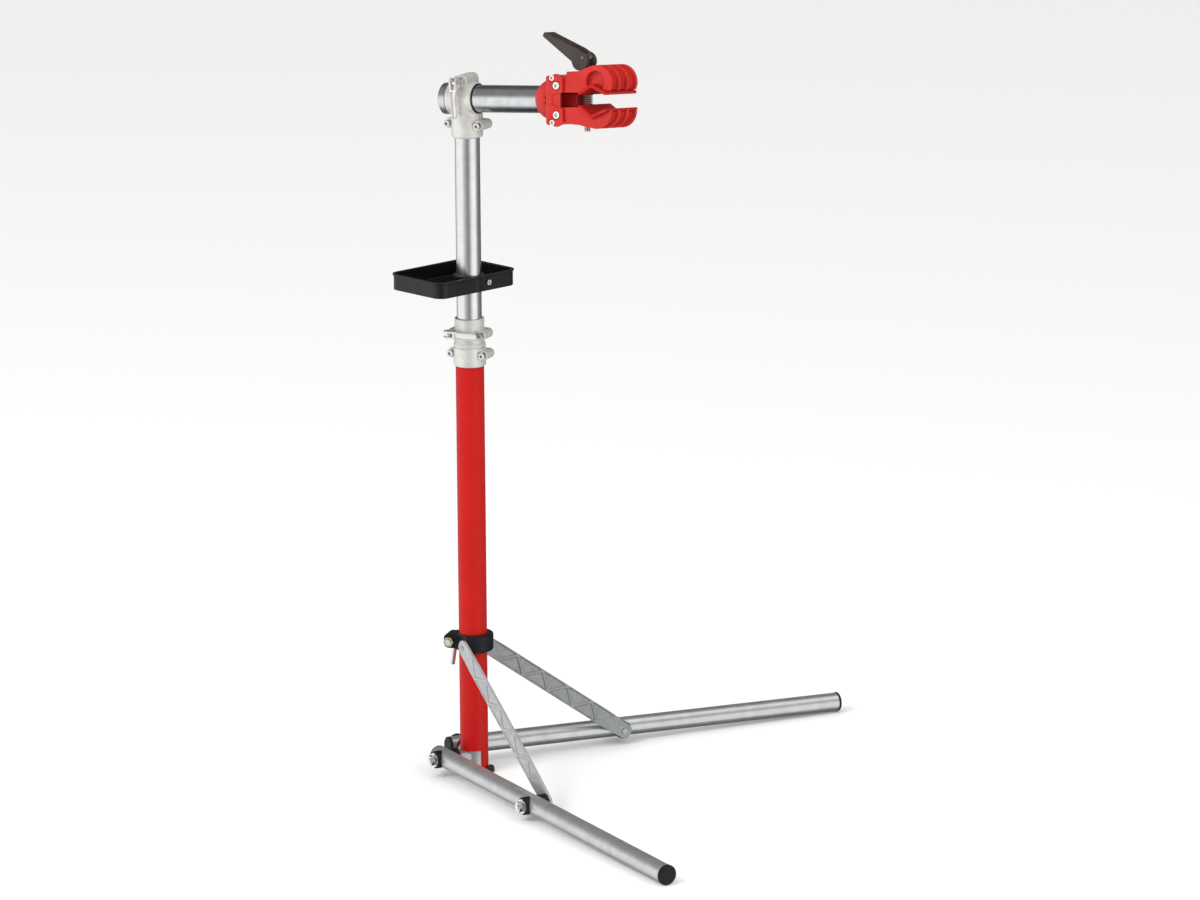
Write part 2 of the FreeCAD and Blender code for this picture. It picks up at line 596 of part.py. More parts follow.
def make_head_liner():
    """Thin plastic sleeve in the barrel, with a rim at its front end."""
    sleeve = cylinder(LINER_R - 0.05, (BARREL_BACK, 0, 0), (LINER_RIM_END, 0, 0))
    rim = cylinder(LINER_RIM_R, (BARREL_FRONT + 0.05, 0, 0), (LINER_RIM_END, 0, 0))
    bore = cylinder(BOOM_R + RUNNING_GAP, (BARREL_BACK - 1, 0, 0), (BARREL_FRONT + 9, 0, 0))
    save("head_liner", placed(fuse(sleeve, rim).cut(bore), BOOM))


# The lever hangs down in front, so its arm's direction is turned from +X to -Z.
HEAD_WASHER = 6.4
HEAD_QUICK_Y = HEAD_EAR_FRONT - HEAD_WASHER - FACE_GAP - HUB_R
HEAD_QUICK = BOOM.multiply(Placement(V(EAR_HOLE[0], HEAD_QUICK_Y, EAR_HOLE[1]),
                                     Rotation(V(0, 1, 0), 90)))


def make_head_lever():
    near, far = HUB_R + FACE_GAP, HUB_R + FACE_GAP + HEAD_WASHER
    washer = block((-6.5, 6.5), (near, far), (-6.5, 6.5))
    washer = washer.cut(cylinder(SKEWER_R + RUNNING_GAP, (0, 0, 0), (0, 30, 0)))
    rod = skewer(HEAD_EAR_BACK - HEAD_QUICK_Y + QUICK_NUT)
    save("head_skewer", placed(rod, HEAD_QUICK), placed(washer, HEAD_QUICK))
    save("head_lever", placed(quick_lever(50, 2.2), HEAD_QUICK))
    save("head_lever_pin", placed(lever_pin(), HEAD_QUICK))


# ---------------------------------------------------------------- tool tray
TRAY_BUSH_R = MAST_R + RUNNING_GAP + 1.2


def tray_outline(inset):
    front, back, half = inset - TRAY_FRONT, TRAY_DEPTH - TRAY_FRONT - inset, TRAY_LENGTH / 2 - inset
    radius = TRAY_CORNER - inset
    return [(front, -half, radius), (back, -half, radius), (back, half, radius), (front, half, radius)]


def make_tray():
    """Open dish with the mast's sleeve standing beside the middle of one long wall."""
    floor = TRAY_TOP - TRAY_H
    dish = prism(tray_outline(0), "xy", floor, TRAY_TOP)
    lip = prism(tray_outline(-1.6), "xy", TRAY_TOP - 2.5, TRAY_TOP)
    inside = prism(tray_outline(TRAY_WALL), "xy", floor + TRAY_WALL, TRAY_TOP + 1)
    sleeve = cylinder(TRAY_BUSH_R + 2.8, (0, 0, floor), (0, 0, TRAY_TOP))
    bore = cylinder(TRAY_BUSH_R + RUNNING_GAP, (0, 0, floor - 1), (0, 0, TRAY_TOP + 1))
    body = fuse(fuse(dish, lip).cut(inside), sleeve).cut(bore)
    screw_z = TRAY_TOP - 11
    hole = cylinder(2.5, (-30, -17, screw_z), (0, -17, screw_z))
    save("tray", placed(body.cut(hole), TRAY))
    front = -TRAY_FRONT
    shank = cylinder(2.45, (front, -17, screw_z), (front + 6, -17, screw_z))
    head = cylinder(3.8, (front - 3, -17, screw_z), (front, -17, screw_z))
    socket = hexagon(3, (front - 4, -17, screw_z), (front - 1.2, -17, screw_z))
    save("tray_screw", placed(fuse(shank, head).cut(socket), TRAY))
    bush = ring(TRAY_BUSH_R, MAST_R + RUNNING_GAP, (0, 0, floor), (0, 0, TRAY_TOP))
    save("tray_bushing", bush)


# ---------------------------------------------------------------- boom
def make_boom():
    """Boom tube and the domed metal cap whose skirt covers the tube's back end."""
    skirt_x = BARREL_BACK - 0.6
    base_x = skirt_x - CAP_SKIRT
    tube = ring(BOOM_R, BOOM_R - BOOM_WALL, (base_x + SNUG_GAP, 0, 0), (BOOM_END, 0, 0))
    save("boom_tube", placed(tube, BOOM))
    sphere_r = (CAP_RIM ** 2 + CAP_SAG ** 2) / (2 * CAP_SAG)
    ball = Part.makeSphere(sphere_r, V(base_x + sphere_r - CAP_SAG, 0, 0))
    dome = ball.common(cylinder(CAP_RIM, (base_x - CAP_SAG, 0, 0), (base_x, 0, 0)))
    skirt = ring(CAP_RIM, BOOM_R + SNUG_GAP, (base_x, 0, 0), (skirt_x, 0, 0))
    plug = cylinder(BOOM_R - BOOM_WALL - SNUG_GAP, (base_x, 0, 0), (skirt_x + 10, 0, 0))
    save("boom_cap", placed(fuse(dome, skirt, plug), BOOM))


# ---------------------------------------------------------------- clamp housing
CAVITY_X = 160.5
BOSS_R = 4.5              # stud on each side of the dome
BOSS_REACH = DOME_R + 5.5
PANEL_DEPTH = 2.0         # sunk panel in each ear, between its pivot screws
SCREW_HEAD = 1.0          # how far a clamp screw's head stands out round its shank
SCREW_RING = 1.2          # open ring round each sunk head
TONGUE_END = 187.0
REAR_SCREW = (163.0, 30.6)
PIVOT_SINK = 2.6          # how deep the pivot screws' and the rear screws' heads are sunk
REAR_SINK = 4.0
REAR_SCREW_R = 3.0
# Each clamp screw: its place along the boom and up, how deep its head is sunk, its radius.
CLAMP_SCREWS = [(PIVOT_X, PIVOT_Z, PIVOT_SINK, BOLT_R), (PIVOT_X, -PIVOT_Z, PIVOT_SINK, BOLT_R),
                (*REAR_SCREW, REAR_SINK, REAR_SCREW_R),
                (REAR_SCREW[0], -REAR_SCREW[1], REAR_SINK, REAR_SCREW_R)]


def housing_cuts():
    cavity = block((CAVITY_X, 220), (-ARM_HALF_W - FACE_GAP, ARM_HALF_W + FACE_GAP), (-60, 60))
    waist = prism([(EAR_FRONT - 4, -9, 0), (EAR_FRONT + 1, -13, 0), (EAR_FRONT + 1, 13, 0),
                   (EAR_FRONT - 4, 9, 0)], "xz", EAR_HALF_W - 12, 80)
    panel = prism([(EAR_FRONT - 17, -7, 1), (EAR_FRONT - 6, -10.5, 1), (EAR_FRONT - 6, 10.5, 1),
                   (EAR_FRONT - 17, 7, 1)], "xz", EAR_HALF_W - PANEL_DEPTH, 80)
    cuts = [cavity, waist, mirrored(waist), panel, mirrored(panel)]
    for x, z, depth, radius in CLAMP_SCREWS:
        cuts.append(cylinder(radius, (x, -60, z), (x, 60, z)))
        for side in (-1, 1):
            cuts.append(cylinder(radius + SCREW_HEAD + SCREW_RING,
                                 (x, side * 60, z), (x, side * (EAR_HALF_W - depth), z)))
    return cuts


def make_housing():
    """Two moulded halves around the boom's end, with an ear each side for the jaw pivots."""
    ball = Part.makeSphere(DOME_R, V(DOME_X, 0, 0))
    boss = cylinder(BOSS_R, (DOME_X, -BOSS_REACH, 0), (DOME_X, BOSS_REACH, 0))
    corner_z = EAR_HALF_H - 4
    ears = prism([(EAR_BACK, -corner_z, 6), (PIVOT_X, -EAR_HALF_H, 6), (EAR_FRONT, -corner_z, 6),
                  (EAR_FRONT, corner_z, 6), (PIVOT_X, EAR_HALF_H, 6), (EAR_BACK, corner_z, 6)],
                 "xz", -EAR_HALF_W, EAR_HALF_W)
    cheeks = prism([(EAR_BACK - 7, -22, 0), (EAR_BACK + 3, -EAR_HALF_W, 8), (190, -EAR_HALF_W, 0),
                    (190, EAR_HALF_W, 0), (EAR_BACK + 3, EAR_HALF_W, 8), (EAR_BACK - 7, 22, 0)],
                   "xy", -60, 60)
    shell = fuse(ball, boss, ears.common(cheeks))
    tongue = prism([(150, -8.5, 0), (TONGUE_END, -8.5, 2), (TONGUE_END, 8.5, 2), (150, 8.5, 0)],
                   "xz", -12, 12)
    boom_bore = cylinder(BOOM_R + 0.02, (0, 0, 0), (BOOM_END + 0.1, 0, 0))
    housing = fuse(shell.cut(housing_cuts()), tongue).cut(boom_bore)
    near, far = split_halves(housing, 0.1)
    save("housing_right", placed(near, JAWS))
    save("housing_left", placed(far, JAWS))


def clamp_screw(x, z, depth, radius):
    """Screw right across the housing, its head and its nut sunk in round recesses."""
    face = EAR_HALF_W - depth
    head_r = radius + SCREW_HEAD
    head = cylinder(head_r, (x, -face - 3, z), (x, -face, z))
    socket = hexagon(head_r, (x, -face - 4, z), (x, -face - 1, z))
    shank = cylinder(radius - 0.02, (x, -face, z), (x, face, z))
    nut = hexagon(2 * head_r, (x, face, z), (x, face + 3, z))
    return placed(fuse(head.cut(socket), shank, nut), JAWS)


def make_clamp_screws():
    screws = [clamp_screw(*screw) for screw in CLAMP_SCREWS]
    save("jaw_pivots", *screws[:2])
    save("housing_screws", *screws[2:])


# ---------------------------------------------------------------- jaws
# The V of each pad's gripping face: (along the boom, up) at its back, apex and tip.
UPPER_V = [(207.0, 7.0), (227.0, 18.3), (250.0, 7.2)]
LOWER_V = [(207.0, -5.2), (227.0, -19.8), (251.0, -10.0)]
UPPER_ARCH = (232.0, 24.5)
LOWER_ARCH = (231.0, -14.5)
PAD_SLOPE = 1.13          # height of a pad's plate over its thickness, on its slopes
RECESS_R = 14.5
ARM_THICK = 10.0
HEEL = 8.0                # the arms behind their pivots
ARM_HALF_H = 9.4
FIN_PITCH = (2 * ARM_HALF_W - FIN_THICK) / 3
FIN_PLACES = [-ARM_HALF_W + FIN_THICK / 2 + FIN_PITCH * k for k in range(4)]


def pad_plate(vee, up):
    """V-shaped plate of even thickness; up is +1 for the upper jaw."""
    thick = up * PAD_THICK * PAD_SLOPE
    (back_x, back_z), (apex_x, apex_z), (tip_x, tip_z) = vee
    corners = [(back_x, back_z, 0.6), (apex_x, apex_z, 0.6), (tip_x, tip_z, 1.2),
               (tip_x, tip_z + thick, 1.2), (apex_x, apex_z + thick, 0.6),
               (back_x, back_z + thick, 0.6)]
    return prism(corners, "xz", -PAD_HALF_W, PAD_HALF_W)


def pad_clearance(vee, up):
    """Everything on the gripping side of a pad's back, cut from its jaw."""
    thick = up * PAD_THICK * PAD_SLOPE
    far = -up * 60
    (back_x, back_z), (apex_x, apex_z), (tip_x, tip_z) = vee
    corners = [(back_x - 0.5, back_z + thick, 0), (apex_x, apex_z + thick, 0),
               (tip_x + 20, tip_z + thick + (tip_z - apex_z) * 20 / (tip_x - apex_x), 0),
               (tip_x + 20, far, 0), (back_x - 0.5, far, 0)]
    return prism(corners, "xz", -60, 60)


def jaw_body(arm_outline, arch, vee, up):
    """Two arms, a curved shell over the pad and fins across its front."""
    arch_x, arch_z = arch
    arms = [prism(arm_outline, "xz", low, low + ARM_THICK)
            for low in (-ARM_HALF_W, ARM_HALF_W - ARM_THICK)]
    core = cylinder(ARCH_R - GROOVE, (arch_x, -ARM_HALF_W + 3, arch_z), (arch_x, ARM_HALF_W - 3, arch_z))
    shell = cylinder(ARCH_R, (arch_x, -ARM_HALF_W, arch_z), (arch_x, ARM_HALF_W, arch_z))
    shell = shell.common(block((0, arch_x), (-60, 60), (-99, 99)))
    fins = [cylinder(ARCH_R, (arch_x, y - FIN_THICK / 2, arch_z), (arch_x, y + FIN_THICK / 2, arch_z))
            for y in FIN_PLACES]
    return fuse(core, shell, *arms, *fins).cut(pad_clearance(vee, up))


def rod_slot(half_length, low, high):
    return prism([(ROD_X - half_length, -4.6, 4.5), (ROD_X + half_length, -4.6, 4.5),
                  (ROD_X + half_length, 4.6, 4.5), (ROD_X - half_length, 4.6, 4.5)], "xy", low, high)


def pivot_bore(z):
    return cylinder(BOLT_R + RUNNING_GAP, (PIVOT_X, -60, z), (PIVOT_X, 60, z))


def fin_gaps():
    """Openings between the fins' feet and the pad, and a gap above the pad's tip."""
    tip_x, tip_z = UPPER_V[2]
    foot = tip_z + PAD_THICK * PAD_SLOPE
    gaps = [block((tip_x - 3, tip_x + 20), (-60, 60), (foot - 9, foot + 2.2))]
    for low, high in zip(FIN_PLACES, FIN_PLACES[1:]):
        gaps.append(block((tip_x - 12, tip_x + 20), (low + 5, high - 5), (foot - 9, foot + 3.4)))
    return gaps


def make_upper_jaw():
    arch_x, arch_z = UPPER_ARCH
    outline = [(PIVOT_X - HEEL, PIVOT_Z - ARM_HALF_H, 7.9), (arch_x - 20, PIVOT_Z - ARM_HALF_H, 0),
               (arch_x, arch_z, 0), (arch_x - 8, arch_z + 23, 3), (ROD_X + 1, UPPER_BRIDGE[1] - 1.3, 20),
               (PIVOT_X + 6, UPPER_BRIDGE[0] - 0.5, 10), (PIVOT_X - HEEL, PIVOT_Z + 5, 7.9)]
    body = jaw_body(outline, UPPER_ARCH, UPPER_V, 1)
    bridge = block((ROD_X - 15, arch_x - 13), (5 - ARM_HALF_W, ARM_HALF_W - 5), UPPER_BRIDGE)
    hollow_x, hollow_z = arch_x - 2, arch_z + 1.5
    recesses = [cylinder(RECESS_R, (hollow_x, side * 60, hollow_z), (hollow_x, side * 27, hollow_z))
                for side in (-1, 1)]
    jaw = fuse(body, bridge).cut([*recesses, *fin_gaps(), rod_slot(9.5, 30, 60), pivot_bore(PIVOT_Z)])
    save("upper_jaw", placed(jaw, JAWS))
    save("upper_pad", placed(pad_plate(UPPER_V, 1), JAWS))


def make_lower_jaw():
    arch_x, arch_z = LOWER_ARCH
    outline = [(PIVOT_X - HEEL, ARM_HALF_H - PIVOT_Z, 7.9), (PIVOT_X - HEEL, -PIVOT_Z - 5, 7.9),
               (PIVOT_X + 8, -31.5, 10), (ROD_X + 7, -33.5, 20), (arch_x - 5, arch_z - ARCH_R + 0.5, 5),
               (arch_x - 5, arch_z - 4, 0), (ROD_X + 11, -8.5, 0)]
    body = jaw_body(outline, LOWER_ARCH, LOWER_V, -1)
    bridge = block((ROD_X - 14, arch_x - 15), (5 - ARM_HALF_W, ARM_HALF_W - 5), LOWER_BRIDGE)
    jaw = fuse(body, bridge).cut([rod_slot(7, -30, 0), pivot_bore(-PIVOT_Z)])
    save("lower_jaw", placed(jaw, JAWS))
    save("lower_pad", placed(pad_plate(LOWER_V, -1), JAWS))


# ---------------------------------------------------------------- draw rod, spring and cam lever
def make_draw_rod():
    eye = cylinder(6.0, (ROD_X, -5, CAM_Z), (ROD_X, 5, CAM_Z))
    rod = cylinder(ROD_R, (ROD_X, 0, ROD_END), (ROD_X, 0, CAM_Z))
    hole = cylinder(CAM_PIN_R + RUNNING_GAP, (ROD_X, -9, CAM_Z), (ROD_X, 9, CAM_Z))
    save("draw_rod", placed(fuse(eye, rod).cut(hole), JAWS))
    nut = hexagon(NUT_FLATS, (ROD_X, 0, LOWER_BRIDGE[0] - 8), (ROD_X, 0, LOWER_BRIDGE[0] - 1.6))
    nut = nut.cut(cylinder(ROD_R + RUNNING_GAP, (ROD_X, 0, -40), (ROD_X, 0, 0)))
    save("draw_nut", placed(nut, JAWS))
    low, high = LOWER_BRIDGE[1] + 0.5, UPPER_BRIDGE[0] - 0.5
    save("jaw_spring", placed(ring(8, 6.2, (ROD_X, 0, low), (ROD_X, 0, high)), JAWS))


CAM_OFFSET = (-4.3, -5.0)
CAM_R = 13.0
CAM_PIN_R = 2.0
FORK_HALF_W = 12.5


def make_cam_lever():
    """Forked hand lever whose off-centre hub presses on the upper jaw."""
    cam_x, cam_z = ROD_X + CAM_OFFSET[0], CAM_Z + CAM_OFFSET[1]
    hub = cylinder(CAM_R, (cam_x, -FORK_HALF_W, cam_z), (cam_x, FORK_HALF_W, cam_z))
    arm = prism([(ROD_X - 64, CAM_Z + 29, 1.5), (ROD_X - 61, CAM_Z + 35, 2), (ROD_X - 8, CAM_Z + 12, 6),
                 (ROD_X + 4, CAM_Z + 4, 0), (ROD_X - 8, CAM_Z - 12, 0), (ROD_X - 21, CAM_Z - 3, 8)],
                "xz", -FORK_HALF_W, FORK_HALF_W)
    slot = block((ROD_X - 22, ROD_X + 30), (-5.3, 5.3), (CAM_Z - 30, CAM_Z + 30))
    hole = cylinder(CAM_PIN_R + 0.02, (ROD_X, -30, CAM_Z), (ROD_X, 30, CAM_Z))
    save("cam_lever", placed(fuse(hub, arm).cut([slot, hole]), JAWS))
    pin = cylinder(CAM_PIN_R, (ROD_X, -FORK_HALF_W - 0.3, CAM_Z), (ROD_X, FORK_HALF_W + 0.3, CAM_Z))
    save("cam_pin", placed(pin, JAWS))


def main():
    os.makedirs("parts", exist_ok=True)
    make_main_tube()
    make_base_hub()
    make_foot_plug()
    make_base_pivots()
    make_legs()
    make_struts()
    make_collar()
    make_collar_lever()
    make_height_clamp()
    make_height_lever()
    make_mast()
    make_head()
    make_head_liner()
    make_head_lever()
    make_tray()
    make_boom()
    make_housing()
    make_clamp_screws()
    make_upper_jaw()
    make_lower_jaw()
    make_draw_rod()
    make_cam_lever()


main()
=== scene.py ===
"""Looks of the bicycle repair stand: cast pieces, coil spring, thread, materials and studio."""
import json
import math

import bmesh
import bpy
from mathutils import Matrix, Vector

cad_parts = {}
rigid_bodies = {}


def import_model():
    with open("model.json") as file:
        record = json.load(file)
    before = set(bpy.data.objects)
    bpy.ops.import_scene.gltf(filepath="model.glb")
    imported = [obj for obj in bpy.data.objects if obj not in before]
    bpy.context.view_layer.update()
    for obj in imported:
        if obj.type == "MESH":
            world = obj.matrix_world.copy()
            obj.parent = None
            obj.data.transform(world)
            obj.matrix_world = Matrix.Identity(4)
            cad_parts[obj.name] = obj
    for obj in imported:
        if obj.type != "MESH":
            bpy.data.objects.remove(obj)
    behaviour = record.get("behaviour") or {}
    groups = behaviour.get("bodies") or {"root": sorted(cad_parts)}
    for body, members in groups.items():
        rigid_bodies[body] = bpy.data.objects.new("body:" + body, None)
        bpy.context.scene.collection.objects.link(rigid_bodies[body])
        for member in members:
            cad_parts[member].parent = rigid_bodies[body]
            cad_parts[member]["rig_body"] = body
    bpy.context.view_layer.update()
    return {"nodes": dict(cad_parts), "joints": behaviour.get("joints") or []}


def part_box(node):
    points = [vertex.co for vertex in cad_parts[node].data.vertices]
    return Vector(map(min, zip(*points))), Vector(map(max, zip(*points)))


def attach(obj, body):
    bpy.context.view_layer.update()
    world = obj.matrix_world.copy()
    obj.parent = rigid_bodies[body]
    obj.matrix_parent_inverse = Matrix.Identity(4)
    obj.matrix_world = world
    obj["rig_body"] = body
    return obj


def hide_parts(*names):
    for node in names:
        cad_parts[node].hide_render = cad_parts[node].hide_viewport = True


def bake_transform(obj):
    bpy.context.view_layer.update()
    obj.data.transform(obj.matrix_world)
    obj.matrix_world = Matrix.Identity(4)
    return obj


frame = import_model()
NODES = frame["nodes"]
JOINTS = {joint["name"]: joint for joint in frame["joints"]}

# ---------------------------------------------------------------- frames read from the joints


def axes_at(origin, up, across):
    """Matrix whose Z is `up`, whose Y is `across` and whose origin is `origin`."""
    up, across = Vector(up).normalized(), Vector(across).normalized()
    matrix = Matrix((across.cross(up), across, up)).transposed().to_4x4()
    matrix.translation = Vector(origin)
    return matrix


ROD = axes_at(JOINTS["draw_rod_turn"]["pos_m"], JOINTS["draw_rod_turn"]["axis"],
              JOINTS["cam_lever_turn"]["axis"])
LEG_DIRECTION = {}
for side in ("left", "right"):
    low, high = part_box(f"leg_tube_{side}")
    outward = 1 if side == "left" else -1
    LEG_DIRECTION[side] = Vector((high.x - low.x, (high.y - low.y) * outward, 0))
BOOM_DIRECTION = Vector(JOINTS["boom_roll"]["axis"])
UP = Vector((0, 0, 1))
BODY_OF = {name: node["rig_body"] for name, node in NODES.items()}

# ---------------------------------------------------------------- camera
CAMERA_AZIMUTH = math.radians(17.205)
CAMERA_PITCH = math.radians(13.638)
CAMERA_ROLL = math.radians(-0.376)
CAMERA_PLACE = (2.681031, -8.045085, 2.525099)
CAMERA_LENS = 186.30
CAMERA_SENSOR = 36
CAMERA_REACH = 200


def make_camera():
    """Camera at a given place, turned, tilted and rolled by given angles."""
    data = bpy.data.cameras.new("camera")
    data.sensor_width = CAMERA_SENSOR
    data.lens = CAMERA_LENS
    data.clip_end = CAMERA_REACH
    camera = bpy.data.objects.new("camera", data)
    bpy.context.scene.collection.objects.link(camera)
    sin_a, cos_a = math.sin(CAMERA_AZIMUTH), math.cos(CAMERA_AZIMUTH)
    sin_p, cos_p = math.sin(CAMERA_PITCH), math.cos(CAMERA_PITCH)
    back = Vector((sin_a * cos_p, -cos_a * cos_p, sin_p))
    right = Vector((cos_a, sin_a, 0))
    up = back.cross(right)
    sin_r, cos_r = math.sin(CAMERA_ROLL), math.cos(CAMERA_ROLL)
    columns = (right * cos_r + up * sin_r, up * cos_r - right * sin_r, back)
    matrix = Matrix(columns).transposed().to_4x4()
    matrix.translation = Vector(CAMERA_PLACE)
    camera.matrix_world = matrix
    bpy.context.scene.camera = camera


# ---------------------------------------------------------------- shader nodes
def node_tree(owner):
    """Emptied node tree of a world or material: its nodes, its links and a function that adds."""
    owner.use_nodes = True
    owner.node_tree.nodes.clear()
    nodes, links = owner.node_tree.nodes, owner.node_tree.links

    def add(kind, settings=None, **inputs):
        """A node, with its settings, and its inputs given by name (Base_Color) or number (_0)."""
        node = nodes.new(kind)
        for name, value in (settings or {}).items():
            setattr(node, name, value)
        for name, value in inputs.items():
            socket = node.inputs[int(name[1:]) if name.startswith("_") else name.replace("_", " ")]
            if isinstance(value, bpy.types.NodeSocket):
                links.new(value, socket)
            else:
                socket.default_value = value
        return node
    return nodes, links, add


def ramp(add, factor, stops):
    """Colour ramp: stops are (position, grey) or (position, colour)."""
    node = add("ShaderNodeValToRGB", _0=factor)
    elements = node.color_ramp.elements
    while len(elements) < len(stops):
        elements.new(0.5)
    for element, (position, value) in zip(elements, stops):
        element.position = position
        colour = (value, value, value) if isinstance(value, float) else value
        element.color = (*colour, 1)
    return node.outputs[0]


def math_node(add, operation, *values):
    inputs = {f"_{i}": value for i, value in enumerate(values)}
    return add("ShaderNodeMath", {"operation": operation}, **inputs).outputs[0]


def mix_colours(add, factor, first, second, blend="MIX"):
    settings = {"data_type": "RGBA", "blend_type": blend}
    return add("ShaderNodeMix", settings, _0=factor, _6=first, _7=second).outputs[2]


# ---------------------------------------------------------------- studio
# Brightness that metal mirrors, as (degrees, brightness). The two are multiplied: degrees round the
# object, counted to the right of the camera, and degrees above the horizon.
STUDIO_ROUND = [(-180, 0.2), (-142, 0.34), (-118, 0.95), (-55, 1.0), (-30, 0.52), (-10, 0.3),
                (0, 0.2), (10, 0.28), (20, 0.5), (30, 0.82), (40, 1.0), (72, 1.0), (82, 0.55),
                (94, 0.24), (125, 0.14), (150, 0.12), (180, 0.14)]
STUDIO_HEIGHT = [(-90, 0.12), (-56, 0.14), (-44, 0.8), (-36, 1.0), (10, 1.0), (22, 0.4), (34, 0.22),
                 (90, 0.26)]

# One more box, high up on the camera's right, that the far leg mirrors.
TOP_ROUND = [(10, 0.0), (40, 1.0), (105, 1.0), (140, 0.0)]
TOP_HEIGHT = [(36, 0.0), (48, 0.95), (68, 0.95), (78, 0.0)]

MIRRORED_LIGHT = 1.25
EVEN_LIGHT = 0.95

# (name, place, size, power in watts), all aimed at the middle of the stand.
LIGHTS = [("key", (-2.2, -3.6, 4.2), 2.2, 150), ("fill", (3.6, -2.4, 2.6), 2.6, 50)]
LIGHT_AIM = (0.1, 0, 0.5)

FLOOR_RADIUS = 60
FLOOR_SIDES = 96
FLOOR_DROP = 0.0004


def set_tones():
    """Plain display tones, which keep the reds strong and the floor white."""
    bpy.context.scene.view_settings.view_transform = "Standard"


def make_world():
    """Even white light on the object, and soft boxes with dark gaps for metal to mirror."""
    world = bpy.data.worlds.new("studio")
    bpy.context.scene.world = world
    nodes, links, add = node_tree(world)
    direction = add("ShaderNodeTexCoord").outputs["Generated"]
    turned = add("ShaderNodeVectorRotate", {"rotation_type": "Z_AXIS"}, Vector=direction,
                 Angle=-CAMERA_AZIMUTH)
    parts = add("ShaderNodeSeparateXYZ", _0=turned.outputs[0])
    away = math_node(add, "MULTIPLY", parts.outputs[1], -1.0)
    azimuth = math_node(add, "ARCTAN2", parts.outputs[0], away)
    height = math_node(add, "ARCSINE", parts.outputs[2])
    share = math_node(add, "MULTIPLY_ADD", azimuth, 0.5 / math.pi, 0.5)
    level = math_node(add, "MULTIPLY_ADD", height, 1 / math.pi, 0.5)

    def round_ramp(stops):
        return ramp(add, share, [((angle + 180) / 360, value) for angle, value in stops])

    def height_ramp(stops):
        return ramp(add, level, [((angle + 90) / 180, value) for angle, value in stops])

    overhead = math_node(add, "MULTIPLY", round_ramp(TOP_ROUND), height_ramp(TOP_HEIGHT))
    boxes = math_node(add, "MULTIPLY_ADD", round_ramp(STUDIO_ROUND), height_ramp(STUDIO_HEIGHT),
                      overhead)
    mirrored = add("ShaderNodeBackground", Color=boxes, Strength=MIRRORED_LIGHT)
    even = add("ShaderNodeBackground", Color=(1, 1, 1, 1), Strength=EVEN_LIGHT)
    ray = add("ShaderNodeLightPath")
    mixed = add("ShaderNodeMixShader", _0=ray.outputs["Is Glossy Ray"], _1=even.outputs[0],
                _2=mirrored.outputs[0])
    links.new(mixed.outputs[0], nodes.new("ShaderNodeOutputWorld").inputs[0])


def make_light(name, place, size, power):
    """Soft square light that metal doesn't mirror."""
    data = bpy.data.lights.new(name, "AREA")
    data.size = size
    data.energy = power
    light = bpy.data.objects.new(name, data)
    bpy.context.scene.collection.objects.link(light)
    light.location = place
    light.rotation_mode = "QUATERNION"
    aim = Vector(LIGHT_AIM) - Vector(place)
    light.rotation_quaternion = aim.to_track_quat("-Z", "Y")
    light.visible_glossy = False


def make_floor():
    """A wide pale disc, a little below the feet so that it never cuts them."""
    bm = bmesh.new()
    bmesh.ops.create_circle(bm, cap_ends=True, segments=FLOOR_SIDES, radius=FLOOR_RADIUS)
    mesh = bpy.data.meshes.new("floor")
    bm.to_mesh(mesh)
    bm.free()
    floor = bpy.data.objects.new("floor", mesh)
    floor.location.z = -FLOOR_DROP
    bpy.context.scene.collection.objects.link(floor)
    material = bpy.data.materials.new("floor_pale")
    nodes, links, add = node_tree(material)
    noise = add("ShaderNodeTexNoise", Scale=3.0, Detail=4.0)
    tone = ramp(add, noise.outputs[0], [(0.3, (0.875, 0.875, 0.87)), (0.7, (0.9, 0.9, 0.9))])
    shader = add("ShaderNodeBsdfPrincipled", Base_Color=tone, Roughness=0.85,
                 Specular_IOR_Level=0.1)
    links.new(shader.outputs[0], nodes.new("ShaderNodeOutputMaterial").inputs[0])
    mesh.materials.append(material)
    floor.visible_glossy = False


# ---------------------------------------------------------------- materials
def turned_to(direction):
    """Rotation that lays `direction` along Z, for a texture's own space."""
    return Vector(direction).normalized().rotation_difference(UP).to_euler()


LINE_SCALE = 1400.0     # brushed lines across the metal, per metre
LINE_STRETCH = 0.012    # how much coarser they are along it
ROUGH_SPREAD = 0.06
BUMP_HEIGHT = 0.0002


